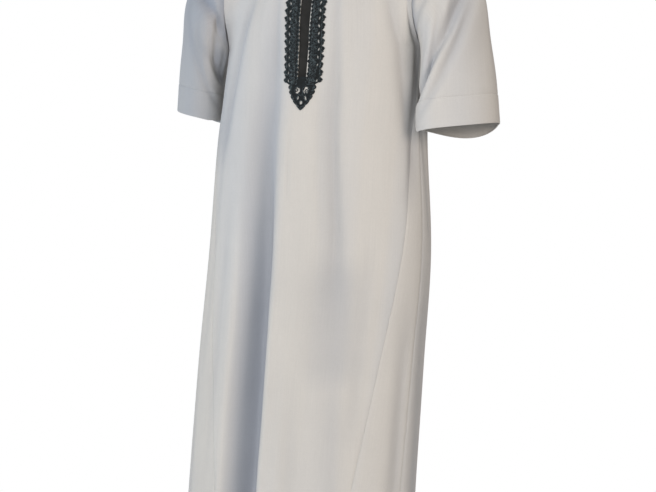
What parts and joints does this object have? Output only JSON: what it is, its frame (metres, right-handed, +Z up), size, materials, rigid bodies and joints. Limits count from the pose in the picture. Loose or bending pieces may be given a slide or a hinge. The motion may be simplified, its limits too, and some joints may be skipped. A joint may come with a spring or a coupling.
{
  "type": "jalabiya robe",
  "caption": "Long loose robe with wide elbow-length sleeves, side gores, and a slit neck edged with dark lace, hollow as it hangs when worn.",
  "frame": {"origin": "between the wearer's shoulders, at the height of the neck's side points", "axes": "+Z up, the front faces -Y, +X is the wearer's left"},
  "size_m": [0.737, 0.2919, 1.4403],
  "materials": {
    "cloth": "matt, fine plain weave, light warm grey",
    "placket": "matt, fine rib, charcoal",
    "lace": "matt braided lace, black with a blue-green cast"
  },
  "bodies": {
    "root": {"front": "cloth", "back": "cloth", "side_gore_left": "cloth", "side_gore_right": "cloth", "sleeve_left": "cloth", "sleeve_right": "cloth", "neckband": "cloth", "placket_strip": "placket", "lace_band_left": "lace", "lace_band_right": "lace", "lace_finial": "lace"}
  },
  "joints": []
}
